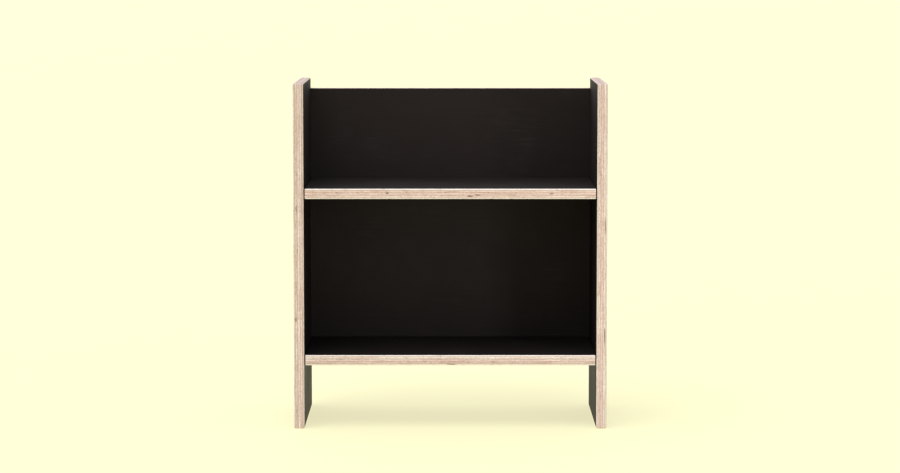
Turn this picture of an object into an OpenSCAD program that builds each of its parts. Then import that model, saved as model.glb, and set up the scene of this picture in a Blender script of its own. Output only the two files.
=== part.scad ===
// Record storage stand: two full-height side panels, two shelves and two back panels of
// film-faced plywood, joined at each shelf end with wooden dowels and connector bolts.
//
// Millimetres. +Z is up, the front faces -Y, and the origin is on the floor, at the centre of
// the footprint. The stand is the same on its left and on its right.

/* [Overall size] */
// Width over the outer faces of the side panels
stand_w = 720; // [600:5:900]
// Height of the side panels
stand_h = 795; // [760:5:900]
// Depth of the side panels, from front edge to rear edge
stand_d = 370; // [360:5:420]

/* [Boards] */
// Thickness of the side panels and of the shelves
board_t = 24; // [22:1:27]
// Radius of the rounded edges of the side panels and shelves
edge_r = 3; // [1:0.5:4]
// Thickness of the back panels
back_t = 12; // [9:1:15]
// Radius of the rounded edges of the back panels
back_edge_r = 2; // [1:0.5:4]

/* [Heights] */
// Floor to the underside of the lower shelf
leg_h = 147; // [100:1:180]
// Clear height of the lower bay
bay_h = 360; // [330:1:380]
// Top of the side panels to the top of the upper back panel
back_drop = 24; // [10:1:60]

/* [Back grooves] */
// Depth of the grooves that hold the back panels
groove_d = 6; // [4:0.5:7]
// Rear edge of the boards to the rear face of the back panels
back_inset = 15; // [12:1:30]

/* [Dowels] */
// Diameter of a dowel
dowel_d = 8; // [6:1:10]
// Length of a dowel
dowel_len = 40; // [30:1:50]
// Length of the dowel that sits in the side panel
dowel_in_side = 14; // [10:1:16]
// Distance from the middle dowel to each outer dowel
dowel_spread = 140; // [120:1:150]

/* [Connector bolts] */
// Diameter of the bolt shank
bolt_d = 6; // [5:1:8]
// Diameter of the flat bolt head
head_d = 17; // [14:1:20]
// Thickness of the flat bolt head, which lies flush with the side panel
head_t = 2.5; // [2:0.5:3.5]
// Width across the flats of the hex socket in the head
socket_af = 4; // [3:0.5:5]
// Distance from the middle dowel to each bolt
bolt_spread = 100; // [60:1:105]
// Diameter of the barrel nut that the bolt screws into
nut_d = 10; // [10:1:14]
// Length of the barrel nut
nut_len = 16; // [12:1:18]
// End of the shelf to the middle of the barrel nut
nut_setback = 34; // [30:1:40]

/* [Hidden] */
$fn = 64;

LEFT = -1;
RIGHT = 1;

// Colours of the materials
PLY_EDGE = "#dfc4ac";
BLACK_FILM = "#1b1a1c";
BEECH = "#d2a673";
BLACK_STEEL = "#303134";
ZINC = "#b9bcc0";

// How far a cutter runs past the face that it cuts
over = 1;
// Diameter that a bore has above its dowel, its nut or its threaded shank
fit_gap = 0.1;
// Diameter that a clearance hole has above the bolt
bolt_gap = 1;
// Thickness that a groove has above its back panel
groove_gap = 0.3;
// Room between the edge of a back panel and the floor of its groove, beside and above it
groove_end_gap = 1;
// Room beyond the end of a dowel or a bolt in its hole
hole_end_gap = 1;
// Chamfer on the ends of dowels and nuts, and on the tips of bolts
end_chamfer = 1;
// Depth of the hex socket
socket_depth = 1.8;

inner_x = stand_w / 2 - board_t;
front_y = -stand_d / 2;
rear_y = stand_d / 2;
lower_z = leg_h;
upper_z = leg_h + board_t + bay_h;
back_top_z = stand_h - back_drop;
back_front_y = rear_y - back_inset - back_t;

// Middle of the row of dowels and bolts, centred between the front edge and the back groove
row_y = (front_y + back_front_y) / 2;
dowel_ys = [row_y - dowel_spread, row_y, row_y + dowel_spread];
bolt_ys = [row_y - bolt_spread, row_y + bolt_spread];
dowel_in_shelf = dowel_len - dowel_in_side;
bolt_len = board_t - head_t + nut_setback + nut_d / 2 - end_chamfer / 2;
nut_bore_depth = board_t / 2 + nut_len / 2;

// Rectangle with its lowest corner at the origin and its corners rounded
module rounded_rect(w, h, r) {
    translate([r, 0]) square([w - 2 * r, h]);
    translate([0, r]) square([w, h - 2 * r]);
    for (x = [r, w - r], y = [r, h - r])
        translate([x, y]) circle(r);
}

// Board with its lowest corner at the origin and all twelve edges rounded
module eased_board(w, d, h, r) {
    intersection() {
        linear_extrude(h) rounded_rect(w, d, r);
        translate([0, d, 0]) rotate([90, 0, 0]) linear_extrude(d) rounded_rect(w, h, r);
        rotate([90, 0, 90]) linear_extrude(w) rounded_rect(d, h, r);
    }
}

// Round bar along +X from the origin, with both ends chamfered
module chamfered_bar(d, len, chamfer) {
    rotate([0, 90, 0])
        rotate_extrude()
            polygon([
                [0, 0], [d / 2 - chamfer, 0], [d / 2, chamfer],
                [d / 2, len - chamfer], [d / 2 - chamfer, len], [0, len]
            ]);
}

// Hole along X from x0 to x1, centred on height z
module hole_x(x0, x1, y, z, d) {
    translate([min(x0, x1), y, z]) rotate([0, 90, 0]) cylinder(h = abs(x1 - x0), d = d);
}

// Slot for the edge of a back panel, open at its rim: lowest corner at x, z
module back_groove(x, z, w, h) {
    translate([x, back_front_y, z]) cube([w, back_t + groove_gap, h]);
}

// One copy of the children at each given y, at the mid-thickness of the shelf at z
module along_row(ys, z) {
    for (y = ys)
        translate([0, y, z + board_t / 2]) children();
}

// ---- side panels -----------------------------------------------------------------------------

// Holes of one shelf joint in the right-hand side panel
module side_joint_holes(z) {
    mid_z = z + board_t / 2;
    for (y = dowel_ys)
        hole_x(inner_x - over, inner_x + dowel_in_side + hole_end_gap, y, mid_z, dowel_d + fit_gap);
    for (y = bolt_ys) {
        hole_x(inner_x - over, inner_x + board_t + over, y, mid_z, bolt_d + bolt_gap);
        hole_x(inner_x + board_t - head_t, inner_x + board_t + over, y, mid_z, head_d + fit_gap);
    }
}

// Right-hand side panel with its stopped back groove and the holes of both shelf joints
module side_panel() {
    groove_z = lower_z + board_t - groove_d;
    difference() {
        translate([inner_x, front_y, 0]) eased_board(board_t, stand_d, stand_h, edge_r);
        back_groove(inner_x - over, groove_z, groove_d + over, back_top_z - groove_z);
        side_joint_holes(lower_z);
        side_joint_holes(upper_z);
    }
}

module left_side_panel() {
    color(PLY_EDGE) mirror([1, 0, 0]) side_panel();
}

module right_side_panel() {
    color(PLY_EDGE) side_panel();
}

// ---- shelves ---------------------------------------------------------------------------------

// Holes in one end of the shelf whose underside is at z
module shelf_end_holes(side, z) {
    mid_z = z + board_t / 2;
    for (y = dowel_ys)
        hole_x(side * (inner_x + over), side * (inner_x - dowel_in_shelf - hole_end_gap),
               y, mid_z, dowel_d + fit_gap);
    for (y = bolt_ys) {
        hole_x(side * (inner_x + over), side * (inner_x + board_t - head_t - bolt_len - hole_end_gap),
               y, mid_z, bolt_d + bolt_gap);
        translate([side * (inner_x - nut_setback), y, z - over])
            cylinder(h = nut_bore_depth + over, d = nut_d + fit_gap);
    }
}

// Shelf whose underside is at z, drilled at both ends and grooved on top for a back panel
module shelf(z) {
    difference() {
        translate([-inner_x, front_y, z]) eased_board(2 * inner_x, stand_d, board_t, edge_r);
        shelf_end_holes(LEFT, z);
        shelf_end_holes(RIGHT, z);
        back_groove(-inner_x - over, z + board_t - groove_d, 2 * (inner_x + over), groove_d + over);
    }
}

// The upper shelf has a second groove in its underside, for the lower back panel
module upper_shelf() {
    color(PLY_EDGE)
        difference() {
            shelf(upper_z);
            back_groove(-inner_x - over, upper_z - over, 2 * (inner_x + over), groove_d + over);
        }
}

module lower_shelf() {
    color(PLY_EDGE) shelf(lower_z);
}

// ---- back panels -----------------------------------------------------------------------------

// Back panel from height z0 to z1, with both ends in the grooves of the side panels
module back_panel(z0, z1) {
    half_w = inner_x + groove_d - groove_end_gap;
    translate([-half_w, back_front_y, z0]) eased_board(2 * half_w, back_t, z1 - z0, back_edge_r);
}

module upper_back_panel() {
    color(BLACK_FILM) back_panel(upper_z + board_t - groove_d, back_top_z);
}

module lower_back_panel() {
    color(BLACK_FILM) back_panel(lower_z + board_t - groove_d, upper_z + groove_d - groove_end_gap);
}

// ---- joint hardware --------------------------------------------------------------------------

// The dowels of one joint, half in the side panel and half in the shelf end
module dowels(side, z) {
    color(BEECH)
        along_row(dowel_ys, z)
            mirror([side == LEFT ? 1 : 0, 0, 0])
                translate([inner_x - dowel_in_shelf, 0, 0])
                    chamfered_bar(dowel_d, dowel_len, end_chamfer);
}

// One connector bolt along +X, with its flat head's outer face at the origin's x
module connector_bolt() {
    difference() {
        union() {
            translate([-head_t - bolt_len, 0, 0]) chamfered_bar(bolt_d, bolt_len + head_t / 2, end_chamfer);
            translate([-head_t, 0, 0]) rotate([0, 90, 0]) cylinder(h = head_t, d = head_d);
        }
        translate([-socket_depth, 0, 0])
            rotate([0, 90, 0])
                cylinder(h = socket_depth + over, d = socket_af / cos(30), $fn = 6);
    }
}

// The connector bolts of one joint
module connector_bolts(side, z) {
    color(BLACK_STEEL)
        along_row(bolt_ys, z)
            mirror([side == LEFT ? 1 : 0, 0, 0])
                translate([inner_x + board_t, 0, 0])
                    connector_bolt();
}

// One barrel nut standing on +Z about the origin, with its threaded hole along X
module barrel_nut() {
    difference() {
        translate([0, 0, -nut_len / 2]) rotate([0, -90, 0]) chamfered_bar(nut_d, nut_len, end_chamfer / 2);
        translate([-nut_d / 2 - over, 0, 0]) rotate([0, 90, 0]) cylinder(h = nut_d + 2 * over, d = bolt_d + fit_gap);
        nut_slot();
    }
}

// Screwdriver slot across the lower end of a barrel nut, in line with its threaded hole
module nut_slot() {
    slot_w = 1.2;
    slot_depth = 1.5;
    translate([-nut_d / 2 - over, -slot_w / 2, -nut_len / 2 - over])
        cube([nut_d + 2 * over, slot_w, slot_depth + over]);
}

// The barrel nuts of one joint, in their blind bores in the underside of the shelf
module barrel_nuts(side, z) {
    color(ZINC)
        along_row(bolt_ys, z)
            translate([side * (inner_x - nut_setback), 0, 0])
                barrel_nut();
}

left_side_panel();
right_side_panel();
upper_shelf();
lower_shelf();
upper_back_panel();
lower_back_panel();
dowels(LEFT, upper_z);  // upper_left_dowels
dowels(RIGHT, upper_z);  // upper_right_dowels
dowels(LEFT, lower_z);  // lower_left_dowels
dowels(RIGHT, lower_z);  // lower_right_dowels
connector_bolts(LEFT, upper_z);  // upper_left_connector_bolts
connector_bolts(RIGHT, upper_z);  // upper_right_connector_bolts
connector_bolts(LEFT, lower_z);  // lower_left_connector_bolts
connector_bolts(RIGHT, lower_z);  // lower_right_connector_bolts
barrel_nuts(LEFT, upper_z);  // upper_left_barrel_nuts
barrel_nuts(RIGHT, upper_z);  // upper_right_barrel_nuts
barrel_nuts(LEFT, lower_z);  // lower_left_barrel_nuts
barrel_nuts(RIGHT, lower_z);  // lower_right_barrel_nuts
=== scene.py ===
"""The looks of an open-legged record storage stand.

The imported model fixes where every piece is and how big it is. Each board and each fitting is
built again here as a closed surface worked out with numpy, takes the place of its plain solid,
and gets a finish that is a solid pattern in Object coordinates. Lengths are in metres.
"""

import logging
import math
from dataclasses import dataclass, field
from enum import Enum
from typing import Sequence

import bmesh
import bpy
import numpy as np
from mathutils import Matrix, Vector


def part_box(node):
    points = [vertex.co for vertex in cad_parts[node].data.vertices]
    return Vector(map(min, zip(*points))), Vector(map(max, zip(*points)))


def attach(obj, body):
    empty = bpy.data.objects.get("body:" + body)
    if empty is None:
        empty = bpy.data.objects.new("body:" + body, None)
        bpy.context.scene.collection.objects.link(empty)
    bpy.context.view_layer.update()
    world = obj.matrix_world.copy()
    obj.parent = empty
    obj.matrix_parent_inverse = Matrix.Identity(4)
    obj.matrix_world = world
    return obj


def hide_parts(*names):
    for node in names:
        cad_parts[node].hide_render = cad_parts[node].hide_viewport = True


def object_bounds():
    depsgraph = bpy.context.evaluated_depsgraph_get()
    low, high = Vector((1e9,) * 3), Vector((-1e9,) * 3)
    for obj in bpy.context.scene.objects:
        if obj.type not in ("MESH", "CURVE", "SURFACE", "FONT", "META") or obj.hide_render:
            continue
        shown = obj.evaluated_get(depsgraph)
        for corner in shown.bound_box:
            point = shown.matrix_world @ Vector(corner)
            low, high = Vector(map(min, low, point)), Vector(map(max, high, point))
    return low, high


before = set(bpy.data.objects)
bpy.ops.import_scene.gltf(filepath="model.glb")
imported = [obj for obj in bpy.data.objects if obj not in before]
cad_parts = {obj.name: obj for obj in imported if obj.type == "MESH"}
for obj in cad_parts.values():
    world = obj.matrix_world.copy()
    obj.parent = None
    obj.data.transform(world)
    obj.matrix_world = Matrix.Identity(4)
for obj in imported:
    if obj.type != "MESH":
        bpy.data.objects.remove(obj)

Array = np.ndarray
Socket = bpy.types.NodeSocket
Point = tuple[float, float, float]
Rgb = tuple[float, float, float]
# Start and end of an eased range, and what they become where that isn't 0 and 1
Ease = tuple[float, ...]

LOG = logging.getLogger("record_stand")
BODY = "root"
MM = 0.001
CAD_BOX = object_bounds()
# Points of a carved piece that are closer than this are one point
WELD = 0.002 * MM
# How far a cutter runs past the face that it cuts
OVER = 1.0 * MM
# Points round a bore, a bolt or a nut
ROUND_STEPS = 48
# Material slots of a board
FILM_SLOT = 0
EDGE_SLOT = 1


class Axis(Enum):
    """A row axis, by its place in a point."""

    X = 0
    Y = 1
    Z = 2

    def turned(self) -> tuple[int, int, int]:
        """This axis and the two that follow it, in right-handed order."""
        return self.value, (self.value + 1) % 3, (self.value + 2) % 3


class Side(Enum):
    """A side of the stand, by the sign of its X."""

    LEFT = -1
    RIGHT = 1


class Level(Enum):
    """A shelf, with its joints and the back panel that stands on it."""

    UPPER = "upper"
    LOWER = "lower"


class Group(Enum):
    """The fittings of a joint, by the end of their node's name."""

    DOWELS = "dowels"
    BOLTS = "connector_bolts"
    NUTS = "barrel_nuts"


# ---- closed surfaces -------------------------------------------------------------------------


class Surface:
    """Points and polygons of one or more closed surfaces, put together from patches."""

    def __init__(self) -> None:
        """Starts an empty surface."""
        self._points: list[Array] = []
        self._faces: list[Array] = []
        self._slots: list[Array] = []
        self._smooth: list[Array] = []
        self._count = 0

    def _add_faces(self, faces: Array, slots: Array | int, smooth: bool) -> None:
        """Keeps polygons of one length.

        Args:
            faces: Point numbers, one polygon a row.
            slots: Material slot of each polygon, or one for all.
            smooth: Whether the polygons shade smoothly.
        """
        self._faces.append(faces)
        self._slots.append(np.broadcast_to(np.asarray(slots, dtype=np.int32), len(faces)))
        self._smooth.append(np.full(len(faces), smooth))

    def add_rings(self, rings: Array, slots: Array | int = 0, smooth: bool = True) -> Array:
        """Adds the quads between neighbouring rings of points.

        Quad (i, j) joins points j and j + 1 of ring i to the same points of ring i + 1, and the
        last point of a ring joins the first.

        Args:
            rings: Points as (rings, points in a ring, 3), counter-clockwise about the way that
                the rings advance.
            slots: Material slots, as (bands between rings, points in a ring) or less.
            smooth: Whether the quads shade smoothly.

        Returns:
            The point numbers as (rings, points in a ring).
        """
        rows, cols = rings.shape[:2]
        numbers = self._count + np.arange(rows * cols).reshape(rows, cols)
        following = np.roll(numbers, -1, axis=1)
        quads = np.stack([numbers[:-1], following[:-1], following[1:], numbers[1:]], axis=-1)
        quad_slots = np.broadcast_to(np.asarray(slots, dtype=np.int32), (rows - 1, cols))
        self._points.append(rings.reshape(-1, 3))
        self._count += rows * cols
        self._add_faces(quads.reshape(-1, 4), quad_slots.ravel(), smooth)
        return numbers

    def add_cap(self, ring: Array, slot: int = 0) -> None:
        """Closes a ring of point numbers with one flat polygon, in the ring's order."""
        self._add_faces(ring[None, :], slot, smooth=False)

    def add_tube(self, rings: Array, slots: Array | int = 0, cap_slot: int = 0,
                 smooth: bool = True) -> None:
        """Adds rings of points and closes both ends with flat caps.

        Args:
            rings: Points, as for add_rings.
            slots: Material slots of the quads, as for add_rings.
            cap_slot: Material slot of the caps.
            smooth: Whether the quads shade smoothly.
        """
        numbers = self.add_rings(rings, slots, smooth)
        self.add_cap(numbers[0, ::-1], cap_slot)
        self.add_cap(numbers[-1], cap_slot)

    def build(self, name: str, materials: Sequence[bpy.types.Material] = ()) -> bpy.types.Object:
        """Makes the surface into a Blender object at the origin.

        Args:
            name: Name of the object and of its mesh.
            materials: The object's material slots.

        Returns:
            The object, linked to the scene.
        """
        sizes = np.concatenate([np.full(len(f), f.shape[1]) for f in self._faces])
        loops = np.concatenate([f.ravel() for f in self._faces])
        mesh = bpy.data.meshes.new(name)
        mesh.vertices.add(self._count)
        mesh.vertices.foreach_set("co", np.concatenate(self._points).astype(np.float32).ravel())
        mesh.loops.add(len(loops))
        mesh.loops.foreach_set("vertex_index", loops.astype(np.int32))
        mesh.polygons.add(len(sizes))
        mesh.polygons.foreach_set("loop_start", (np.cumsum(sizes) - sizes).astype(np.int32))
        mesh.polygons.foreach_set("material_index", np.concatenate(self._slots).astype(np.int32))
        mesh.polygons.foreach_set("use_smooth", np.concatenate(self._smooth))
        mesh.update(calc_edges=True)
        for material in materials:
            mesh.materials.append(material)
        piece = bpy.data.objects.new(name, mesh)
        bpy.context.scene.collection.objects.link(piece)
        return piece


def along(axis: Axis, depth: Array, second: Array, third: Array) -> Array:
    """Puts coordinates together into points.

    Args:
        axis: The axis of the first coordinate.
        depth: Coordinates on that axis.
        second: Coordinates on the axis that follows it.
        third: Coordinates on the axis after that.

    Returns:
        Points as (..., 3).
    """
    first_at, second_at, third_at = axis.turned()
    points = np.empty(np.broadcast(depth, second, third).shape + (3,))
    points[..., first_at] = depth
    points[..., second_at] = second
    points[..., third_at] = third
    return points


def circle_angles(count: int) -> Array:
    """Evenly spaced angles once round, without the last."""
    return np.arange(count) * (2 * math.pi / count)


def turned_rings(axis: Axis, centre: Point, stations: Array, radii: Array) -> Array:
    """Rings of a turned or fluted bar.

    Point (i, j) lies at station i along the axis and at angle a(j) round it, at radius
    radii(i, j): centre + (s, r cos a, r sin a) in the axis's own turned order.

    Args:
        axis: Axis of the bar.
        centre: A point on the bar's axis, from which the stations count.
        stations: Places along the axis, from the profile's lower end to its upper end.
        radii: Radius at each station, as (stations,) or as (stations, angles).

    Returns:
        Points as (stations, angles, 3).
    """
    table = radii if radii.ndim == 2 else np.repeat(radii[:, None], ROUND_STEPS, axis=1)
    angles = circle_angles(table.shape[1])
    middle = [centre[i] for i in axis.turned()]
    return along(axis, middle[0] + stations[:, None], middle[1] + table * np.cos(angles),
                 middle[2] + table * np.sin(angles))


def box_rings(axis: Axis, low: Point, high: Point) -> Array:
    """The end rings of a plain box.

    Args:
        axis: The way the box runs.
        low: Its lowest corner.
        high: Its highest corner.

    Returns:
        Points as (2 ends, 4, 3).
    """
    a, b, c = axis.turned()
    second = np.array([low[b], high[b], high[b], low[b]])
    third = np.array([low[c], low[c], high[c], high[c]])
    return along(axis, np.array([[low[a]], [high[a]]]), second, third)


def carve(piece: bpy.types.Object, *cutters: bpy.types.Object) -> None:
    """Cuts each cutter out of a piece with an exact boolean, and deletes the cutters.

    Points that the boolean leaves all but on top of each other are welded.

    Args:
        piece: The piece, whose mesh is replaced.
        *cutters: Closed surfaces, cut in turn. Their polygons keep their material slots.
    """
    for cutter in cutters:
        modifier = piece.modifiers.new("carve", "BOOLEAN")
        modifier.operation = "DIFFERENCE"
        modifier.solver = "EXACT"
        modifier.object = cutter
    graph = bpy.context.evaluated_depsgraph_get()
    solid = bpy.data.meshes.new_from_object(piece.evaluated_get(graph))
    cleaned = bmesh.new()
    cleaned.from_mesh(solid)
    bmesh.ops.remove_doubles(cleaned, verts=cleaned.verts, dist=WELD)
    bmesh.ops.dissolve_degenerate(cleaned, dist=WELD, edges=cleaned.edges)
    cleaned.to_mesh(solid)
    cleaned.free()
    raw = piece.data
    name = raw.name
    piece.modifiers.clear()
    piece.data = solid
    bpy.data.meshes.remove(raw)
    solid.name = name
    for cutter in cutters:
        mesh = cutter.data
        bpy.data.objects.remove(cutter)
        bpy.data.meshes.remove(mesh)


def dress(piece: bpy.types.Object, node: str) -> None:
    """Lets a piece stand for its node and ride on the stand.

    Args:
        piece: The piece.
        node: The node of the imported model.
    """
    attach(piece, BODY)
    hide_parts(node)
    LOG.info("%s: %d faces for %s", piece.name, len(piece.data.polygons), node)


# ---- finishes --------------------------------------------------------------------------------


@dataclass(frozen=True)
class Pattern:
    """A pattern of noise.

    Its waves are counted in a metre along each part of the place where it is read.
    """

    waves: Point
    detail: float = 2.0
    roughness: float = 0.5
    shift: Point = (0.0, 0.0, 0.0)
    ease: Ease = (0.0, 1.0)


class Recipe:
    """A node tree, written as short sums."""

    # Places of the Mix node's amount and two colours, and of the colour that it gives
    MIX_INPUTS = (0, 6, 7)
    MIX_OUTPUT = 2

    def __init__(self, tree: bpy.types.NodeTree) -> None:
        """Starts a recipe on the nodes of a material or of the world."""
        self.tree = tree

    def feed(self, socket: Socket, value: object) -> None:
        """Links an input to an output, or sets its own value.

        Args:
            socket: The input.
            value: An output, a number, a vector, or a colour of three parts.
        """
        if isinstance(value, Socket):
            self.tree.links.new(value, socket)
        else:
            socket.default_value = (*value, 1.0) if socket.type == "RGBA" else value

    def node(self, kind: str, inputs: dict[int | str, object] | Sequence[object],
             out: int | str = 0, **settings: str) -> Socket:
        """Adds one node.

        Args:
            kind: The node's type, as it stands after "ShaderNode".
            inputs: What feeds its inputs, in their order or by their names or places.
            out: Name or place of the output.
            **settings: The node's own settings.

        Returns:
            The output.
        """
        node = self.tree.nodes.new("ShaderNode" + kind)
        for key, value in settings.items():
            setattr(node, key, value)
        fed = inputs if isinstance(inputs, dict) else dict(enumerate(inputs))
        for key, value in fed.items():
            self.feed(node.inputs[key], value)
        return node.outputs[out]

    def math(self, operation: str, *values: object) -> Socket:
        """One Math node on up to three numbers or outputs."""
        return self.node("Math", values, operation=operation)

    def plus(self, first: object, second: object) -> Socket:
        """The sum of two numbers."""
        return self.math("ADD", first, second)

    def minus(self, first: object, second: object) -> Socket:
        """The first number less the second."""
        return self.math("SUBTRACT", first, second)

    def times(self, first: object, second: object) -> Socket:
        """The product of two numbers."""
        return self.math("MULTIPLY", first, second)

    def fit(self, value: object, low: float, high: float, to_low: float = 0.0,
            to_high: float = 1.0) -> Socket:
        """A number eased from one range to another and held at its ends."""
        inputs = (value, low, high, to_low, to_high)
        return self.node("MapRange", inputs, interpolation_type="SMOOTHSTEP")

    def split(self, vector: object) -> list[Socket]:
        """The three parts of a vector."""
        return list(self.node("SeparateXYZ", (vector,)).node.outputs)

    def join(self, *parts: object) -> Socket:
        """A vector from its three parts."""
        return self.node("CombineXYZ", parts)

    def mix(self, amount: object, first: object, second: object, blend: str = "MIX") -> Socket:
        """One colour mixed into another by an amount."""
        inputs = dict(zip(self.MIX_INPUTS, (amount, first, second)))
        return self.node("Mix", inputs, self.MIX_OUTPUT, data_type="RGBA", blend_type=blend)

    def stain(self, amount: object, colour: object, by: Rgb) -> Socket:
        """A colour multiplied by another by an amount."""
        return self.mix(amount, colour, by, "MULTIPLY")


class Finish(Recipe):
    """The recipe of one material."""

    def __init__(self, name: str) -> None:
        """Starts a material with a shader and Object coordinates.

        Args:
            name: Name of the material.
        """
        self.material = bpy.data.materials.new(name)
        self.material.use_nodes = True
        super().__init__(self.material.node_tree)
        self.shader = self.tree.nodes["Principled BSDF"]
        self.place = self.node("TexCoord", (), "Object")

    def turn(self, axis: Axis, grain: Axis, low: float = 0.0) -> Socket:
        """Turns the place into a board's own: height, run along the grain, and cross.

        Args:
            axis: The axis across the board's thickness.
            grain: The axis along its face grain.
            low: Where the board's lower face is on the first axis.

        Returns:
            The height over the lower face.
        """
        parts = self.split(self.place)
        across = next(other for other in Axis if other not in (axis, grain))
        height = self.minus(parts[axis.value], low) if low else parts[axis.value]
        self.place = self.join(height, parts[grain.value], parts[across.value])
        return height

    def stretched(self, scale: Point, shift: object) -> Socket:
        """The place times a scale, part by part, plus a shift."""
        return self.node("VectorMath", (self.place, scale, shift), operation="MULTIPLY_ADD")

    def noise(self, pattern: Pattern, shift: object = None) -> Socket:
        """A pattern's plain noise.

        Args:
            pattern: The pattern.
            shift: What moves it, where that isn't its own shift.

        Returns:
            The noise, from 0 to 1.
        """
        place = self.stretched(pattern.waves, pattern.shift if shift is None else shift)
        inputs = {"Vector": place, "Scale": 1.0, "Detail": pattern.detail,
                  "Roughness": pattern.roughness}
        return self.node("TexNoise", inputs, "Fac")

    def eased(self, pattern: Pattern, shift: object = None) -> Socket:
        """A pattern's noise, eased."""
        return self.fit(self.noise(pattern, shift), *pattern.ease)

    def bump(self, height: object, distance: float, strength: float) -> None:
        """Joins a bump of a real depth to the shader."""
        inputs = {"Strength": strength, "Distance": distance, "Height": height}
        self.shade(normal=self.node("Bump", inputs, "Normal"))

    def shade(self, **sockets: object) -> bpy.types.Material:
        """Feeds the shader.

        Args:
            **sockets: What feeds its inputs, named in lower case with underscores.

        Returns:
            The material.
        """
        names = {socket.name.lower().replace(" ", "_"): socket for socket in self.shader.inputs}
        for key, value in sockets.items():
            self.feed(names[key], value)
        return self.material


@dataclass(frozen=True)
class Layup:
    """The veneers of a sheet of plywood.

    The face veneers are thinner than the rest, because they were sanded. Glue line k lies at
    face + k * (thickness - 2 * face) / (count - 2) from the lower face.
    """

    thickness: float
    count: int
    face: float

    @property
    def inner(self) -> float:
        """Thickness of each veneer between the two face veneers."""
        return (self.thickness - 2 * self.face) / (self.count - 2)

    def glue_lines(self) -> Array:
        """Depth of each glue line from the lower face."""
        return self.face + self.inner * np.arange(self.count - 1)


@dataclass(frozen=True)
class Knot:
    """A knot or gap in one veneer that shows as a dark mark on the board's edge."""

    at: Point
    reach: Point
    darkness: float


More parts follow.
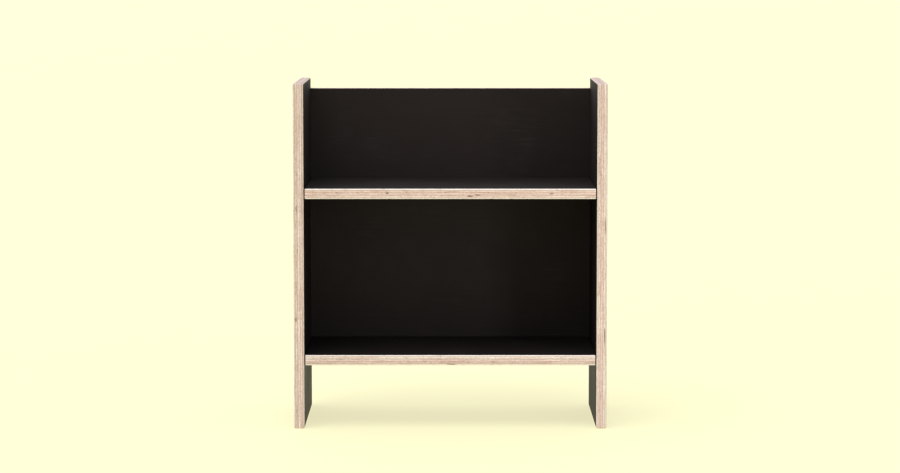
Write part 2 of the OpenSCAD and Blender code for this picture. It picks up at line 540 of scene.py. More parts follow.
@dataclass(frozen=True)
class PlyEdge:
    """The sanded and oiled edge of a plywood board, as a solid pattern.

    Odd veneers run along the board and even ones across it. Each is noise drawn out along its
    own grain, so one edge shows its streaks and the next edge its cut pores.
    """

    name: str
    layup: Layup
    axis: Axis
    low: float
    grain: Axis
    pale_face: float
    draw: float
    knots: tuple[Knot, ...]

    CREAM = (0.865, 0.825, 0.815)
    TAN = (0.69, 0.58, 0.54)
    PINK = (0.85, 0.71, 0.69)
    # Face veneer colour: pale wood, brightened as a painted highlight along the rounded edges
    PALE = (0.945, 0.905, 0.89)
    PATCH = (0.87, 0.78, 0.755)
    STREAK = (0.66, 0.58, 0.52)
    END_GRAIN = (0.85, 0.76, 0.71)
    GLUE = (0.36, 0.27, 0.20)
    RESIN = (0.28, 0.19, 0.13)
    KNOT = (0.15, 0.09, 0.06)
    # Patterns through the veneers, along the board and across it
    WANDER = Pattern((0.0, 9.0, 9.0))
    CLOUDS = Pattern((0.0, 7.0, 7.0), 3.0)
    PATCHES = Pattern((150.0, 15.0, 15.0), 5.0, 0.65, ease=(0.43, 0.64))
    ALONG = Pattern((2300.0, 26.0, 2300.0), 3.0)
    ACROSS = Pattern((2300.0, 2300.0, 26.0), 3.0)
    MOTTLE = Pattern((420.0, 230.0, 230.0), 3.0, 0.6, (0.0, 5.0, 9.0), (0.46, 0.66, 0.0, 0.55))
    GLUE_PATCHES = Pattern((900.0, 60.0, 60.0), ease=(0.35, 0.7, 0.25, 1.0))
    FLECKS = Pattern((480.0, 110.0, 110.0), shift=(7.0, 3.0, 1.0), ease=(0.60, 0.76, 0.0, 0.5))
    RAGGED = Pattern((1500.0, 420.0, 420.0), 3.0)
    # Where a veneer's tone turns to tan and to pink, and its streaks to dark and to dull
    TAN_EASE = (0.2, 0.6)
    PINK_EASE = (0.5, 0.85)
    STREAK_EASE = (0.42, 0.72)
    GLOSS_EASE = (0.3, 0.7, 0.5, 0.62)
    # How far from a face or a glue line each of their marks ends
    FACE_EASE = (1.8 * MM, 3.6 * MM)
    LINE_EASE = (0.08 * MM, 0.30 * MM, 1.0, 0.0)
    RESIN_EASE = (0.30 * MM, 0.45 * MM, 1.0, 0.0)
    # How far a glue line wanders
    WANDER_REACH = 0.5 * MM
    # Shares of a veneer's own draw and of its clouds in its tone, and how far apart draws lie
    DRAW_TONE = 0.75
    CLOUD_TONE = 0.4
    DRAW_APART = 40.0
    # How much of a face veneer's paleness, which is partly a painted highlight, covers its streaks
    # and its glue line
    PALE_AND_HIGHLIGHT_OVER_STREAKS = 0.55
    PALE_AND_HIGHLIGHT_OVER_GLUE = 0.7
    # How high a streak stands, and how deep a knot lies, next to a glue line's depth of one
    STREAK_HEIGHT = 0.35
    KNOT_DEPTH = 2.0
    # Depth and strength of the bump
    RELIEF = (0.08 * MM, 0.8)

    def make(self) -> bpy.types.Material:
        """Makes the material from its veneers, streaks, glue lines and knots.

        Returns:
            The material.
        """
        recipe = Finish(self.name)
        depth = recipe.turn(self.axis, self.grain, self.low)
        wander = recipe.minus(recipe.noise(self.WANDER), 0.5)
        wavy = recipe.math("MULTIPLY_ADD", wander, self.WANDER_REACH, depth)
        layer = recipe.math("DIVIDE", recipe.minus(wavy, self.layup.face), self.layup.inner)
        index = recipe.math("FLOOR", layer)
        cross_ply = recipe.math("PINGPONG", recipe.plus(index, 1.0), 1.0)
        to_face = recipe.math("MINIMUM", depth, recipe.minus(self.layup.thickness, depth))
        # Painted highlight: the pale face veneers also stand for light caught by the rounded edges
        outer = recipe.fit(to_face, *self.FACE_EASE, self.pale_face, 0.0)
        streaks = self._streaks(recipe, cross_ply)
        glue = self._glue(recipe, layer, outer)
        dark = self._marks(recipe)

        colour = self._veneers(recipe, index, outer)
        colour = recipe.stain(recipe.fit(streaks, *self.STREAK_EASE), colour, self.STREAK)
        colour = recipe.stain(cross_ply, colour, self.END_GRAIN)
        colour = recipe.stain(recipe.eased(self.MOTTLE), colour, self.STREAK)
        colour = recipe.mix(recipe.times(outer, self.PALE_AND_HIGHLIGHT_OVER_STREAKS), colour, self.PALE)
        colour = recipe.stain(glue, colour, self.GLUE)
        colour = recipe.stain(recipe.fit(to_face, *self.RESIN_EASE), colour, self.RESIN)
        colour = recipe.mix(dark, colour, self.KNOT)

        height = recipe.minus(recipe.times(streaks, self.STREAK_HEIGHT), glue)
        height = recipe.minus(height, recipe.times(dark, self.KNOT_DEPTH))
        recipe.bump(height, *self.RELIEF)
        roughness = recipe.fit(streaks, *self.GLOSS_EASE)
        return recipe.shade(base_color=colour, roughness=roughness, specular_ior_level=0.4)

    def _veneers(self, recipe: Finish, index: Socket, outer: Socket) -> Socket:
        """The colour of each veneer, from cream through tan to pink, with its patches, and pale at
        the faces, partly as a painted highlight.

        Args:
            recipe: The material's recipe.
            index: Number of the veneer.
            outer: How much of a pale face veneer the place is; the paleness is partly a painted
                highlight along the rounded edge.

        Returns:
            The colour.
        """
        number = {"W": recipe.plus(index, self.draw)}
        seed = recipe.node("TexWhiteNoise", number, "Value", noise_dimensions="1D")
        shift = recipe.times(seed, self.DRAW_APART)
        cloud = recipe.noise(self.CLOUDS, recipe.join(shift, 0.0, 0.0))
        tone = recipe.plus(recipe.times(seed, self.DRAW_TONE), recipe.times(cloud, self.CLOUD_TONE))
        colour = recipe.mix(recipe.fit(tone, *self.TAN_EASE), self.CREAM, self.TAN)
        colour = recipe.mix(recipe.fit(tone, *self.PINK_EASE), colour, self.PINK)
        colour = recipe.mix(outer, colour, self.PALE)
        return recipe.stain(recipe.eased(self.PATCHES, shift), colour, self.PATCH)

    def _streaks(self, recipe: Finish, cross_ply: Socket) -> Socket:
        """Noise drawn out along the board, and across it in the veneers that lie so.

        Args:
            recipe: The material's recipe.
            cross_ply: 1 in a veneer that runs across the board, and 0 elsewhere.

        Returns:
            The noise, from 0 to 1.
        """
        return recipe.plus(
            recipe.times(cross_ply, recipe.noise(self.ACROSS)),
            recipe.times(recipe.minus(1.0, cross_ply), recipe.noise(self.ALONG)))

    def _glue(self, recipe: Finish, layer: Socket, outer: Socket) -> Socket:
        """How much glue shows: it fades away from its line, in patches, and on pale faces.

        Args:
            recipe: The material's recipe.
            layer: Number of the veneer, with the place between its two glue lines as a part.
            outer: How much of a pale face veneer the place is; the paleness is partly a painted
                highlight along the rounded edge.

        Returns:
            The mask, from 0 to 1.
        """
        nearest = recipe.times(recipe.math("PINGPONG", layer, 0.5), self.layup.inner)
        glue = recipe.times(recipe.fit(nearest, *self.LINE_EASE), recipe.eased(self.GLUE_PATCHES))
        return recipe.times(glue, recipe.math("MULTIPLY_ADD", outer, -self.PALE_AND_HIGHLIGHT_OVER_GLUE, 1.0))

    def _marks(self, recipe: Finish) -> Socket:
        """How dark the flecks and knots make a place.

        A knot fades between 0.5 and 1 of its reach, at a distance made ragged by noise.

        Args:
            recipe: The material's recipe.

        Returns:
            The mask, from 0 to 1.
        """
        mask = recipe.eased(self.FLECKS)
        ragged = recipe.minus(recipe.noise(self.RAGGED), 0.5)
        for knot in self.knots:
            scale = tuple(1.0 / reach for reach in knot.reach)
            shift = tuple(-at / reach for at, reach in zip(knot.at, knot.reach))
            away = recipe.stretched(scale, shift)
            distance = recipe.node("VectorMath", (away,), "Value", operation="LENGTH")
            fade = recipe.fit(recipe.plus(distance, ragged), 0.5, 1.0, knot.darkness, 0.0)
            mask = recipe.math("MAXIMUM", mask, fade)
        return mask


@dataclass(frozen=True)
class BlackFilm:
    """Smooth black film pressed on the plywood, with the veneer's grain showing faintly."""

    name: str
    axis: Axis
    grain: Axis

    COLOUR = (0.0066, 0.0047, 0.0046)
    RUBBED = (0.024, 0.0203, 0.0192)
    SHEEN = (1.0, 0.85, 0.85)
    # Patterns through the board, along its grain and across it
    VENEER = Pattern((90.0, 9.0, 520.0), 4.0, 0.6, ease=(0.45, 0.72, 0.0, 0.16))
    PEEL = Pattern((1400.0, 1400.0, 1400.0), 1.0)
    SMUDGE = Pattern((5.0, 5.0, 5.0), 3.0, 0.65, ease=(0.48, 0.75))
    SCUFF = Pattern((40.0, 14.0, 700.0), ease=(0.5, 0.75, 0.2, 1.0))
    # How rough the smudges are, and how much rougher the veneer makes the film
    GLOSS_EASE = (0.3, 0.7, 0.55, 0.64)
    VENEER_GLOSS = 0.08
    # Shares of the veneer and of the film's own peel in the relief
    VENEER_SHARE = 0.7
    PEEL_SHARE = 0.3
    # Depth and strength of the bump
    RELIEF = (0.06 * MM, 0.8)

    def make(self) -> bpy.types.Material:
        """Makes the material.

        Returns:
            The material.
        """
        recipe = Finish(self.name)
        recipe.turn(self.axis, self.grain)
        veneer = recipe.noise(self.VENEER)
        smudge = recipe.noise(self.SMUDGE)
        rubbed = recipe.times(recipe.fit(smudge, *self.SMUDGE.ease), recipe.eased(self.SCUFF))
        rubbed = recipe.plus(rubbed, recipe.fit(veneer, *self.VENEER.ease))
        roughness = recipe.plus(recipe.fit(smudge, *self.GLOSS_EASE),
                                recipe.times(veneer, self.VENEER_GLOSS))
        height = recipe.plus(recipe.times(veneer, self.VENEER_SHARE),
                             recipe.times(recipe.noise(self.PEEL), self.PEEL_SHARE))
        recipe.bump(height, *self.RELIEF)
        return recipe.shade(base_color=recipe.mix(rubbed, self.COLOUR, self.RUBBED),
                            roughness=roughness, specular_ior_level=0.27,
                            specular_tint=self.SHEEN)


@dataclass(frozen=True)
class Steel:
    """Plated or blackened steel with fine turning marks round its axis."""

    name: str
    colour: Rgb
    worn: Rgb
    roughness: float
    axis: Axis

    CLOUDS = Pattern((260.0, 260.0, 260.0), 3.0, ease=(0.45, 0.75))
    # Waves of the turning marks in a metre, along the axis and across it
    TURNING_WAVES = 5200.0
    ROUND_WAVES = 400.0
    # How much smoother and how much rougher the clouds make the steel, and where
    GLOSS_EASE = (0.3, 0.7)
    SMOOTHER = 0.06
    ROUGHER = 0.08
    CLOUD_SHARE = 0.4
    # Depth and strength of the bump
    RELIEF = (0.012 * MM, 0.6)

    def make(self) -> bpy.types.Material:
        """Makes the material.

        Returns:
            The material.
        """
        recipe = Finish(self.name)
        cloud = recipe.noise(self.CLOUDS)
        waves = tuple(self.TURNING_WAVES if axis is self.axis else self.ROUND_WAVES
                      for axis in Axis)
        turning = recipe.noise(Pattern(waves, 1.0))
        spread = recipe.fit(cloud, *self.GLOSS_EASE, self.roughness - self.SMOOTHER,
                            self.roughness + self.ROUGHER)
        recipe.bump(recipe.plus(turning, recipe.times(cloud, self.CLOUD_SHARE)), *self.RELIEF)
        worn = recipe.fit(cloud, *self.CLOUDS.ease)
        return recipe.shade(base_color=recipe.mix(worn, self.colour, self.worn),
                            roughness=spread, metallic=1.0)


@dataclass(frozen=True)
class Beech:
    """Turned beech with its short dark flecks, lying along X."""

    name: str

    PALE = (0.66, 0.43, 0.25)
    WARM = (0.52, 0.30, 0.16)
    FLECK = (0.30, 0.15, 0.07)
    BANDS = Pattern((18.0, 420.0, 420.0), 3.0, ease=(0.3, 0.7))
    FLECKS = Pattern((330.0, 3600.0, 3600.0), 1.0, ease=(0.64, 0.74, 0.0, 0.7))
    # Depth and strength of the bump
    RELIEF = (0.03 * MM, 0.5)

    def make(self) -> bpy.types.Material:
        """Makes the material.

        Returns:
            The material.
        """
        recipe = Finish(self.name)
        bands = recipe.noise(self.BANDS)
        flecks = recipe.eased(self.FLECKS)
        colour = recipe.mix(recipe.fit(bands, *self.BANDS.ease), self.PALE, self.WARM)
        recipe.bump(recipe.minus(bands, flecks), *self.RELIEF)
        return recipe.shade(base_color=recipe.mix(flecks, colour, self.FLECK), roughness=0.62)


# ---- boards ----------------------------------------------------------------------------------

# Knots and gaps on the front edges of the boards, in millimetres: depth from the lower or left
# face, place along the board, half depth and half length, and how dark each is
EDGE_MARKS = {
    "left_side_panel": ((7.2, 507.0, 1.3, 14.0, 0.85), (8.8, 412.0, 1.4, 6.0, 0.6),
                        (5.3, 253.0, 1.9, 7.0, 0.9)),
    "right_side_panel": ((19.0, 469.0, 1.4, 26.0, 0.85), (19.0, 215.0, 1.6, 26.0, 0.98)),
    "upper_shelf": ((13.7, -144.5, 2.6, 5.5, 0.85), (14.3, -260.0, 1.7, 4.0, 0.65),
                    (11.0, -312.0, 0.9, 9.0, 0.4), (6.9, 45.5, 2.1, 8.0, 0.98),
                    (9.6, 63.0, 1.9, 8.0, 0.85), (13.0, 232.0, 1.9, 6.5, 0.75)),
    "lower_shelf": ((2.6, 2.5, 1.4, 16.0, 0.75), (9.2, 98.0, 1.3, 7.0, 0.5),
                    (13.6, -252.0, 1.0, 14.0, 0.5)),
}
# How far a mark reaches back from the front edge
MARK_REACH = 9.0 * MM


@dataclass
class Board:
    """A sheet of film-faced plywood with rounded edges, before its joints are cut.

    Its edge is a profile carried round a rounded rectangle. Across the thickness the profile is
    a quarter round, a flat with the relief of the veneers, and a quarter round.
    """

    node: str
    axis: Axis
    grain: Axis
    slot: str
    count: int = 9
    face: float = 1.85 * MM
    edge_radius: float = 3.0 * MM
    corner_radius: float = 3.4 * MM
    film: float = 0.3 * MM
    end_gap: float = 0.0
    # Whether the board's ends are black, as painted shade in the joints
    painted_shade_ends: bool = False
    # How pale the face veneers are, partly as a painted highlight along the rounded edges
    pale_face: float = 0.25
    draw: float = 3.7
    glue_depth: float = 0.07 * MM
    glue_width: float = 0.14 * MM
    end_grain_depth: float = 0.03 * MM
    spacing: float = 7.0 * MM
    knots: tuple[Knot, ...] = field(init=False)
    low: Array = field(init=False)
    high: Array = field(init=False)
    layup: Layup = field(init=False)

    # Steps on a corner of the outline, and on the film's and the wood's part of a quarter round
    CORNER_STEPS = 6
    FILM_STEPS = 2
    WOOD_STEPS = 6
    # Where the bell of a glue line has its points, in its own widths
    BELL = (-2.0, -1.0, -0.4, 0.4, 1.0, 2.0)
    # How far points stay off the ends of the rounds and of the film, as a factor
    ROUND_CLEAR = 1.02
    FILM_CLEAR = 1.01
    # How far a corner turns from the board's end before its black painted shade stops, as a cosine
    SHADE_TURN = 0.45
    # How much of the random draw comes from a board's own place
    DRAW_PER_METRE = 97.0

    def __post_init__(self) -> None:
        """Reads the board's place and thickness from the imported model, and its marks."""
        self.low, self.high = (np.array(corner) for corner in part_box(self.node))
        front = float(self.low[1])
        marks = EDGE_MARKS.get(self.node, ())
        self.knots = tuple(
            Knot((up * MM, run * MM, front), (half_up * MM, half_run * MM, MARK_REACH), dark)
            for up, run, half_up, half_run, dark in marks)
        self.low[0] += self.end_gap
        self.high[0] -= self.end_gap
        thickness = float(self.high[self.axis.value] - self.low[self.axis.value])
        self.layup = Layup(thickness, self.count, self.face)

    def _outline(self) -> tuple[Array, Array]:
        """The rounded rectangle that the profile is carried round.

        Each side is a straight row of points and each corner a quarter circle,
        centre + R (cos a, sin a), whose normal is (cos a, sin a).

        Returns:
            Points and outward normals, each as (points, 2), counter-clockwise.
        """
        _, b, c = self.axis.turned()
        low, high = self.low + self.corner_radius, self.high - self.corner_radius
        centres = np.array([(high[b], high[c]), (low[b], high[c]), (low[b], low[c]),
                            (high[b], low[c])])
        turn = np.linspace(0, math.pi / 2, self.CORNER_STEPS + 1)
        points, normals = [], []
        for quarter, (centre, following) in enumerate(zip(centres, np.roll(centres, -1, axis=0))):
            angles = quarter * math.pi / 2 + turn
            normal = np.stack([np.cos(angles), np.sin(angles)], axis=1)
            arc = centre + self.corner_radius * normal
            start = following + self.corner_radius * normal[-1]
            steps = max(2, int(round(np.linalg.norm(start - arc[-1]) / self.spacing)))
            share = np.linspace(0, 1, steps + 1)[1:-1, None]
            points += [arc, arc[-1] + share * (start - arc[-1])]
            normals += [normal, np.repeat(normal[-1:], len(share), axis=0)]
        return np.concatenate(points), np.concatenate(normals)

    def _profile(self) -> tuple[Array, Array, Array]:
        """The section across the board's edge.

        On the quarter round at angle a from the edge's flat, the depth is r (1 - sin a) and the
        inset r (1 - cos a). The relief is a narrow bell at each glue line, plus a step on the
        veneers that run across the board.

        Returns:
            Depth from the lower face, inset from the outline, and the material slot of each
            band between two depths.
        """
        radius, thickness = self.edge_radius, self.layup.thickness
        film_angle = math.asin(1 - self.film / radius)
        angles = np.concatenate([np.linspace(math.pi / 2, film_angle, self.FILM_STEPS + 1),
                                 np.linspace(film_angle, 0, self.WOOD_STEPS + 1)[1:]])
        round_depth = radius * (1 - np.sin(angles))
        round_inset = radius * (1 - np.cos(angles))
        flat = self.layup.glue_lines()[:, None] + self.glue_width * np.array(self.BELL)
        rim = radius * self.ROUND_CLEAR
        flat = flat[(flat > rim) & (flat < thickness - rim)]
        depth = np.concatenate([round_depth, flat, thickness - round_depth[::-1]])
        inset = np.concatenate([round_inset, np.zeros_like(flat), round_inset[::-1]])
        apart = np.abs(depth[:, None] - self.layup.glue_lines()).min(axis=1)
        layer = np.floor((depth - self.layup.face) / self.layup.inner)
        skin = self.film * self.FILM_CLEAR
        bare = (depth > skin) & (depth < thickness - skin)
        relief = self.glue_depth * np.exp(-(apart / self.glue_width) ** 2)
        relief = relief + self.end_grain_depth * (layer % 2 == 0)
        middle = (depth[1:] + depth[:-1]) / 2
        covered = (middle < self.film) | (middle > thickness - self.film)
        return depth, inset + relief * bare, np.where(covered, FILM_SLOT, EDGE_SLOT)

    def shape(self) -> bpy.types.Object:
        """Builds the board with its finishes, before it is bored.

        Returns:
            The board.
        """
        outline, normals = self._outline()
        depth, inset, slots = self._profile()
        path = outline[None, :, :] - inset[:, None, None] * normals[None, :, :]
        low = float(self.low[self.axis.value])
        rings = along(self.axis, low + depth[:, None], path[..., 0], path[..., 1])
        table = np.repeat(slots[:, None], len(outline), axis=1)
        # Painted shade: the end faces and the corners that turn toward them take the black film, to
        # stand for shade in the joint against the side panel
        if self.painted_shade_ends:
            endwise = np.abs(normals[:, self.axis.turned().index(self.grain.value) - 1])
            table[:, np.minimum(endwise, np.roll(endwise, -1)) > self.SHADE_TURN] = FILM_SLOT
        film = BlackFilm(f"{self.node}_film", self.axis, self.grain)
        edge = PlyEdge(f"{self.node}_edge", self.layup, self.axis, low, self.grain, self.pale_face,
                       low * self.DRAW_PER_METRE + self.draw, self.knots)
        surface = Surface()
        surface.add_tube(rings, table, FILM_SLOT)
        return surface.build(self.node + "_board", [film.make(), edge.make()])


# ---- joint fittings --------------------------------------------------------------------------


def thread_radius(x: Array, angles: Array, crest: float, depth: float, pitch: float) -> Array:
    """Radius of a right-hand thread about X.

    It is crest - depth |2 frac(phase) - 1| for the phase x / pitch - angle / 2 pi, with steeper
    flanks, and with its peaks and roots cut flat.

    Args:
        x: Places along X.
        angles: Angles round X.
        crest: Radius over the ridge.
        depth: Height of the ridge.
        pitch: Distance between two turns.

    Returns:
        Radii as (places, angles).
    """
    steepness, root = 1.3, 0.15
    phase = x[:, None] / pitch - angles[None, :] / (2 * math.pi)
    ridge = 1 - np.abs(2 * (phase - np.floor(phase)) - 1)
    return crest - depth * (1 - np.clip(steepness * ridge - root, 0, 1))


@dataclass
class Joint:
    """The dowels, bolts and barrel nuts that hold one end of one shelf.

    Their places come from the imported model: a node's lowest and highest corners are the rims of
    its first and last piece.
    """

    level: Level
    side: Side
    hole_gap: float = 0.05 * MM
    bolt_hole_gap: float = 0.5 * MM
    hole_end: float = 1.0 * MM
    chamfer: float = 1.0 * MM
    flutes: int = 18
    flute_depth: float = 0.22 * MM
    bolt_radius: float = 3.0 * MM
    nose_radius: float = 2.05 * MM
    thread_start: float = 2.5 * MM
    head_height: float = 2.5 * MM
    head_round: float = 0.5 * MM
    neck: float = 0.3 * MM
    bevel: float = 0.25 * MM
    socket_corner: float = 2.309 * MM
    socket_depth: float = 1.8 * MM
    socket_point: float = 0.2 * MM
    socket_tip: float = 0.3 * MM
    thread_pitch: float = 1.0 * MM
    thread_depth: float = 0.55 * MM
    thread_length: float = 24.0 * MM
    nut_bevel: float = 0.5 * MM
    slot_width: float = 1.2 * MM
    slot_depth: float = 1.5 * MM

    # How many pieces each node has
    COUNTS = {Group.DOWELS: 3, Group.BOLTS: 2, Group.NUTS: 2}
    # Where a dowel's end has its rings, in chamfers, and how deep the flutes are there
    END_RINGS = (0.0, 0.35, 1.0, 1.6)
    END_FLUTES = (0.0, 0.0, 0.4, 1.0)
    # How round the dowel's end is: 1 is a straight chamfer
    END_ROUND = 1.3
    # Points on each flute, rings on each turn of a thread, and rings on a head's rounded rim
    FLUTE_STEPS = 4
    THREAD_STEPS = 8
    RIM_STEPS = 5
    # Edges that turn by more than this many degrees shade sharply
    BOLT_CREASE = 40
    NUT_CREASE = 35

    def _name(self, part: str) -> str:
        """The name of one of this joint's nodes or pieces."""
        return f"{self.level.value}_{self.side.name.lower()}_{part}"

    def _corners(self, group: Group) -> tuple[Array, Array]:
        """The lowest and highest corner of one of this joint's nodes."""
        low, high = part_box(self._name(group.value))
        return np.array(low), np.array(high)

    def _reach(self, group: Group) -> list[float]:
        """How far from the middle of the stand a node starts and ends along X."""
        low, high = self._corners(group)
        return sorted((abs(float(low[0])), abs(float(high[0]))))

    def _radius(self, group: Group) -> float:
        """Largest radius of the pieces of a node whose axes lie along X, or of its nuts."""
        extent = np.ptp(self._corners(group), axis=0)
        return float(extent[0 if group is Group.NUTS else 2]) / 2

    def _bore(self, group: Group) -> float:
        """Radius of a close-fitting bore for the pieces of a node."""
        return self._radius(group) + self.hole_gap

    def _places(self, group: Group) -> Array:
        """Where the pieces of a node are, evenly spaced.

        Args:
            group: The node's group.

        Returns:
            Places along Y, one for each piece.
        """
        low, high = self._corners(group)
        rim = self._radius(group)
        return np.linspace(low[1] + rim, high[1] - rim, self.COUNTS[group])

    def _centre(self, y: float) -> Point:
        """The point at mid-width and at mid-thickness of the shelf, from which stations count."""
        low, high = self._corners(Group.DOWELS)
        return 0.0, float(y), float(low[2] + high[2]) / 2

    def _shelf_end(self) -> float:
        """How far from the middle of the stand the shelf ends."""
        return abs(float(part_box(f"{self.level.value}_shelf")[1][0]))

    def _outwards(self, surface: Surface, y: float, distances: Sequence[float] | Array,
                  radii: Sequence[float] | Array, slot: int = 0) -> None:
        """Adds one turned piece or cutter whose stations are distances outwards along X.

        Args:
            surface: Where it goes.
            y: Its place along Y.
            distances: Distances from the middle of the stand, as its profile runs outwards.
            radii: Radii as (stations,) or as (stations, angles).
            slot: Its material slot.
        """
        order = slice(None) if self.side is Side.RIGHT else slice(None, None, -1)
        stations = self.side.value * np.array(distances)[order]
        rings = turned_rings(Axis.X, self._centre(y), stations, np.array(radii)[order])
        surface.add_tube(rings, slot, slot)

    def dowels(self, wood: bpy.types.Material) -> None:
        """Builds the fluted dowels.

        Radius at angle a: R - depth (1 - cos(flutes a)) / 2, and R less the chamfer at the ends.

        Args:
            wood: Their finish.
        """
        near, far = self._reach(Group.DOWELS)
        ends, share = np.array(self.END_RINGS), np.array(self.END_FLUTES)
        narrowed = self.chamfer * np.clip(1 - ends, 0, None) ** self.END_ROUND
        angles = circle_angles(self.FLUTE_STEPS * self.flutes)
        groove = self.flute_depth * (1 - np.cos(self.flutes * angles)) / 2
        radii = (self._radius(Group.DOWELS) - narrowed)[:, None] - share[:, None] * groove
        radii = np.concatenate([radii, radii[::-1]])
        distances = np.concatenate([near + self.chamfer * ends, far - self.chamfer * ends[::-1]])
        surface = Surface()
        for y in self._places(Group.DOWELS):
            self._outwards(surface, y, distances, radii)
        piece = surface.build(self._name("fluted_dowels"), [wood])
        dress(piece, self._name(Group.DOWELS.value))

    def bolts(self, steel: bpy.types.Material) -> None:
        """Builds the connector bolts: a threaded shank, a flat head and a hex socket.

        The socket is a hexagon whose corners lie at radius R:
        R cos(pi / 6) / cos(mod(a + pi / 6, pi / 3) - pi / 6).

        Args:
            steel: Their finish.
        """
        tip, face = self._reach(Group.BOLTS)
        rim = self._radius(Group.BOLTS)
        under = face - self.head_height
        bottom = face - self.socket_depth
        angles = circle_angles(ROUND_STEPS)
        turns = np.arange(0, self.thread_length, self.thread_pitch / self.THREAD_STEPS)
        threaded = tip + self.chamfer + turns
        thread = thread_radius(self.side.value * threaded, angles, self.bolt_radius,
                               self.thread_depth, self.thread_pitch)
        thread = np.minimum(thread, self.thread_start + turns[:, None])
        arc = np.linspace(0, math.pi / 2, self.RIM_STEPS)
        top = face - self.head_round * (1 - np.sin(arc))
        edge = rim - self.head_round * (1 - np.cos(arc))
        plain = [(under - self.neck, self.bolt_radius), (under, self.bolt_radius + self.neck),
                 (under, rim - self.bevel), (under + self.bevel, rim),
                 *zip(top.tolist(), edge.tolist()), (face, self.socket_corner + self.bevel)]
        keyed = [(face - self.bevel, self.socket_corner), (bottom, self.socket_corner),
                 (bottom - self.socket_point, self.socket_tip)]
        profile = np.array(plain + keyed)
        sixth = math.pi / 6
        hexagon = math.cos(sixth) / np.cos(np.mod(angles + sixth, 2 * sixth) - sixth)
        outline = np.where(np.arange(len(profile))[:, None] < len(plain), 1.0, hexagon)
        nose = np.full((1, ROUND_STEPS), self.nose_radius)
        distances = np.concatenate([[tip], threaded, profile[:, 0]])
        radii = np.concatenate([nose, thread, profile[:, 1:] * outline])
        surface = Surface()
        for y in self._places(Group.BOLTS):
            self._outwards(surface, y, distances, radii)
        piece = surface.build(self._name("turned_bolts"), [steel])
        piece.data.set_sharp_from_angle(angle=math.radians(self.BOLT_CREASE))
        dress(piece, self._name(Group.BOLTS.value))

    def nuts(self, steel: bpy.types.Material) -> None:
        """Builds the barrel nuts: upright bars with a threaded cross hole and a driver slot.

        Args:
            steel: Their finish.
        """
        near, far = self._reach(Group.NUTS)
        low, high = self._corners(Group.NUTS)
        rim = self._radius(Group.NUTS)
        end = rim - self.nut_bevel
        stations = np.array([low[2], low[2] + self.nut_bevel, high[2] - self.nut_bevel, high[2]])
        x = self.side.value * (near + far) / 2
        spots = x + np.arange(-rim - OVER, rim + OVER, self.thread_pitch / self.THREAD_STEPS)
        thread = thread_radius(spots, circle_angles(ROUND_STEPS), self.bolt_radius + self.hole_gap,
                               self.thread_depth, self.thread_pitch)
        bars, threads, slots = Surface(), Surface(), Surface()
        for y in self._places(Group.NUTS):
            bars.add_tube(turned_rings(Axis.Z, (x, y, 0.0), stations,
                                       np.array([end, rim, rim, end])))
            threads.add_tube(turned_rings(Axis.X, self._centre(y), spots, thread))
            half = self.slot_width / 2
            slot = box_rings(Axis.X, (x - 2 * rim, y - half, low[2] - OVER),
                             (x + 2 * rim, y + half, low[2] + self.slot_depth))
            slots.add_tube(slot, smooth=False)
        piece = bars.build(self._name("turned_nuts"), [steel])
        carve(piece, threads.build("thread_cutter"), slots.build("slot_cutter"))
        piece.data.set_sharp_from_angle(angle=math.radians(self.NUT_CREASE))
        dress(piece, self._name(Group.NUTS.value))

    def bore_side(self, cutter: Surface) -> None:
        """Adds this joint's holes in its side panel to a cutter.

        Args:
            cutter: Where they go.
        """
        start = self._shelf_end() - OVER
        dowel_end = self._reach(Group.DOWELS)[1] + self.hole_end
        face = self._reach(Group.BOLTS)[1]
        under = face - self.head_height
        dowel, head = self._bore(Group.DOWELS), self._bore(Group.BOLTS)
        shank = self.bolt_radius + self.bolt_hole_gap
        for y in self._places(Group.DOWELS):
            self._outwards(cutter, y, (start, dowel_end), (dowel, dowel), EDGE_SLOT)
        for y in self._places(Group.BOLTS):
            self._outwards(cutter, y, (start, under, under, face + OVER),
                           (shank, shank, head, head), EDGE_SLOT)

    def bore_shelf(self, ends: Surface, bores: Surface) -> None:
        """Adds this joint's holes in its shelf to two cutters.

        Args:
            ends: Where the dowel and bolt holes go.
            bores: Where the upright bores for the nuts go.
        """
        end = self._shelf_end() + OVER
        shank = self.bolt_radius + self.bolt_hole_gap
        for group, bore in ((Group.DOWELS, self._bore(Group.DOWELS)), (Group.BOLTS, shank)):
            start = self._reach(group)[0] - self.hole_end
            for y in self._places(group):
                self._outwards(ends, y, (start, end), (bore, bore), EDGE_SLOT)
        near, far = self._reach(Group.NUTS)
        x = self.side.value * (near + far) / 2
        underside = float(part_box(f"{self.level.value}_shelf")[0][2])
        nut_top = float(self._corners(Group.NUTS)[1][2])
        stations = np.array([underside - OVER, nut_top])
        radii = np.full(2, self._bore(Group.NUTS))
        for y in self._places(Group.NUTS):
            rings = turned_rings(Axis.Z, (x, float(y), 0.0), stations, radii)
            bores.add_tube(rings, EDGE_SLOT, EDGE_SLOT)


# ---- the stand -------------------------------------------------------------------------------


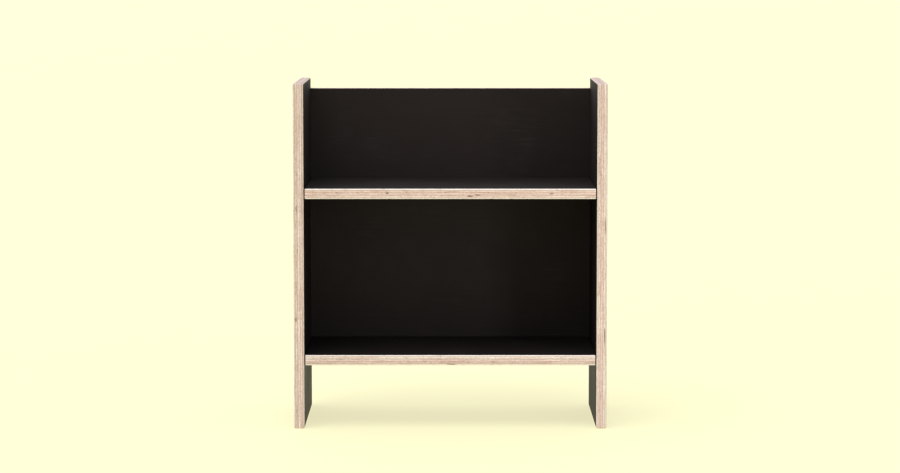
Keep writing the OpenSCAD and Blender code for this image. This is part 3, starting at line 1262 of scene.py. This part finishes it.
@dataclass
class Stand:
    """The whole stand: boards, back panels and the fittings of its four joints."""

    groove_gap: float = 0.3 * MM
    groove_end_gap: float = 1.0 * MM
    back_face: float = 0.9 * MM
    back_edge_radius: float = 2.0 * MM
    back_corner: float = 2.4 * MM
    back_glue_depth: float = 0.05 * MM
    back_glue_width: float = 0.1 * MM
    shelf_corner: float = 4.2 * MM
    shelf_end_gap: float = 0.3 * MM
    joints: list[Joint] = field(default_factory=lambda: [
        Joint(level, side) for level in Level for side in Side])

    # The random draw of each shelf's veneers
    SHELF_DRAWS = {Level.UPPER: 3.7, Level.LOWER: 14.2}

    def _groove(self, cutter: Surface, axis: Axis, x: Sequence[float], z: Sequence[float]) -> None:
        """Adds a groove for the edges of the back panels to a cutter.

        Args:
            cutter: Where it goes.
            axis: The way it runs.
            x: Where it starts and ends along X.
            z: Where it starts and ends along Z.
        """
        low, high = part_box("lower_back_panel")
        rings = box_rings(axis, (x[0], low[1], z[0]), (x[1], high[1] + self.groove_gap, z[1]))
        cutter.add_tube(rings, EDGE_SLOT, EDGE_SLOT, smooth=False)

    def side_panels(self) -> None:
        """Builds both side panels with their grooves, dowel holes and counterbored bolt holes."""
        bottom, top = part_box("lower_back_panel")[0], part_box("upper_back_panel")[1]
        floor_of_groove = float(top[0]) + self.groove_end_gap
        inner = float(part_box("upper_shelf")[1][0]) - OVER
        for side in Side:
            board = Board(f"{side.name.lower()}_side_panel", Axis.X, Axis.Z, "faced_plywood")
            piece = board.shape()
            cutter = Surface()
            across = sorted((side.value * inner, side.value * floor_of_groove))
            self._groove(cutter, Axis.Z, across, (bottom[2], top[2]))
            for joint in self.joints:
                if joint.side is side:
                    joint.bore_side(cutter)
            carve(piece, cutter.build("panel_cutter"))
            dress(piece, board.node)

    def shelves(self) -> None:
        """Builds both shelves with their grooves, end holes and nut bores."""
        for level in Level:
            # The shelves' black ends are painted shade in the joints with the side panels
            # The shelves' fully pale faces are partly a painted highlight on their rounded front
            # edges
            board = Board(f"{level.value}_shelf", Axis.Z, Axis.X, "faced_plywood",
                          corner_radius=self.shelf_corner, end_gap=self.shelf_end_gap,
                          painted_shade_ends=True, pale_face=1.0, draw=self.SHELF_DRAWS[level])
            piece = board.shape()
            low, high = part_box(board.node)
            ends, bores = Surface(), Surface()
            run = (float(low[0]) - OVER, float(high[0]) + OVER)
            floor_of_top = float(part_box(f"{level.value}_back_panel")[0][2])
            self._groove(ends, Axis.X, run, (floor_of_top, high[2] + OVER))
            if level is Level.UPPER:
                roof = float(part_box("lower_back_panel")[1][2]) + self.groove_end_gap
                self._groove(ends, Axis.X, run, (low[2] - OVER, roof))
            for joint in self.joints:
                if joint.level is level:
                    joint.bore_shelf(ends, bores)
            carve(piece, ends.build("shelf_cutter"), bores.build("bore_cutter"))
            dress(piece, board.node)

    def back_panels(self) -> None:
        """Builds both back panels, which are thinner sheets of the same kind."""
        for level in Level:
            board = Board(f"{level.value}_back_panel", Axis.Y, Axis.X, "black_back_board",
                          face=self.back_face, edge_radius=self.back_edge_radius,
                          corner_radius=self.back_corner, glue_depth=self.back_glue_depth,
                          glue_width=self.back_glue_width)
            dress(board.shape(), board.node)

    def fittings(self) -> None:
        """Builds the dowels, bolts and barrel nuts of every joint."""
        beech = Beech("beech").make()
        black = Steel("black_oxide", colour=(0.036, 0.035, 0.037), worn=(0.056, 0.054, 0.055),
                      roughness=0.38, axis=Axis.X).make()
        zinc = Steel("bright_zinc", colour=(0.56, 0.57, 0.59), worn=(0.42, 0.43, 0.45),
                     roughness=0.3, axis=Axis.Z).make()
        for joint in self.joints:
            joint.dowels(beech)
            joint.bolts(black)
            joint.nuts(zinc)

    def build(self) -> None:
        """Builds every piece."""
        self.side_panels()
        self.shelves()
        self.back_panels()
        self.fittings()


# ---- the stage -------------------------------------------------------------------------------


class LampKind(Enum):
    """The kinds of lamp, by their names in Blender."""

    SUN = "SUN"
    SPOT = "SPOT"


@dataclass(frozen=True)
class Lamp:
    """A soft lamp: a sun spread over an angle, or a spot of a radius whose cone fades out."""

    name: str
    kind: LampKind
    strength: float
    spread: float
    place: Point
    aim: Point = (0.0, 0.0, 0.0)
    radius: float = 0.0

    def hang(self) -> None:
        """Adds the lamp to the scene, at its place and turned to its aim."""
        data = bpy.data.lights.new(self.name, self.kind.value)
        data.energy = self.strength
        if self.kind is LampKind.SUN:
            data.angle = math.radians(self.spread)
        else:
            data.shadow_soft_size = self.radius
            data.spot_size = math.radians(self.spread)
            data.spot_blend = 1.0
        lamp = bpy.data.objects.new(self.name, data)
        lamp.location = self.place
        way = Vector(self.aim) - Vector(self.place)
        lamp.rotation_euler = way.to_track_quat("-Z", "Y").to_euler()
        lamp.visible_camera = False
        bpy.context.scene.collection.objects.link(lamp)


@dataclass
class Studio:
    """The pale floor, the soft light and the camera."""

    frame_width: float = 900.0
    focal_pixels: float = 2961.0
    sensor: float = 36.0
    camera_x: float = -0.75 * MM
    camera_distance: float = 6.759
    camera_height: float = 1.075
    pitch: float = 5.324
    floor_radius: float = 140.0
    floor_hub: float = 0.02
    floor_rings: int = 24
    floor_steps: int = 96
    floor_drop: float = 0.2 * MM
    floor_colour: Rgb = (0.29, 0.285, 0.185)
    floor_glow: Rgb = (1.0, 0.955, 0.62)
    glow_strength: float = 0.735
    zenith: Rgb = (1.25, 1.25, 1.25)
    horizon: Rgb = (0.80, 0.80, 0.80)
    right_side: Rgb = (0.5, 0.5, 0.5)
    lamps: tuple[Lamp, ...] = (
        Lamp("key", LampKind.SUN, 1.3, 40.0, place=(-0.9, -2.2, 4.5)),
        Lamp("low_fill", LampKind.SPOT, 125.0, 30.0, place=(2.4, -3.4, 0.7),
             aim=(0.35, -0.18, 0.2), radius=0.4))

    # Where the sky turns from horizon to zenith, as the rise of a unit vector
    SKY_EASE = (0.0, 0.9)
    # Where it turns from left to right, as the X of a unit vector
    RIGHT_EASE = (-1.0, 1.0)
    # How far the camera sees, in radii of the floor
    CLIP_RADII = 4

    def floor(self) -> None:
        """Lays the floor: rings of points whose radius shrinks by a steady factor to a hub."""
        radii = np.geomspace(self.floor_radius, self.floor_hub, self.floor_rings)
        table = np.repeat(radii[:, None], self.floor_steps, axis=1)
        rings = turned_rings(Axis.Z, (0.0, 0.0, -self.floor_drop), np.zeros_like(radii), table)
        surface = Surface()
        surface.add_cap(surface.add_rings(rings)[-1])
        glow = Finish("pale_floor").shade(
            base_color=self.floor_colour, roughness=0.8, specular_ior_level=0.15,
            emission_color=self.floor_glow, emission_strength=self.glow_strength)
        surface.build("pale_floor", [glow])

    def light(self) -> None:
        """Sets a soft sky, brighter overhead and on the left, and hangs the lamps."""
        world = bpy.data.worlds.new("soft_sky")
        bpy.context.scene.world = world
        world.use_nodes = True
        recipe = Recipe(world.node_tree)
        to_right, _, rise = recipe.split(recipe.node("TexCoord", (), "Generated"))
        shade = recipe.mix(recipe.fit(rise, *self.SKY_EASE), self.horizon, self.zenith)
        shade = recipe.stain(recipe.fit(to_right, *self.RIGHT_EASE), shade, self.right_side)
        recipe.feed(world.node_tree.nodes["Background"].inputs["Color"], shade)
        for lamp in self.lamps:
            lamp.hang()

    def camera(self) -> None:
        """Stands the camera where the photograph was taken from.

        The focal length in millimetres is the one in pixels times sensor width over frame width.
        """
        data = bpy.data.cameras.new("camera")
        data.sensor_width = self.sensor
        data.lens = self.focal_pixels * self.sensor / self.frame_width
        data.clip_end = self.CLIP_RADII * self.floor_radius
        camera = bpy.data.objects.new("camera", data)
        front = float(CAD_BOX[0][1])
        camera.location = (self.camera_x, front - self.camera_distance, self.camera_height)
        camera.rotation_euler = (math.radians(90.0 - self.pitch), 0.0, 0.0)
        bpy.context.scene.collection.objects.link(camera)
        bpy.context.scene.camera = camera

    def build(self) -> None:
        """Sets the whole stage."""
        self.floor()
        self.light()
        self.camera()
        bpy.context.scene.view_settings.view_transform = "Standard"


def main() -> None:
    logging.basicConfig(level=logging.INFO, format="%(message)s")
    Studio().build()
    Stand().build()


if __name__ == "__main__":
    main()
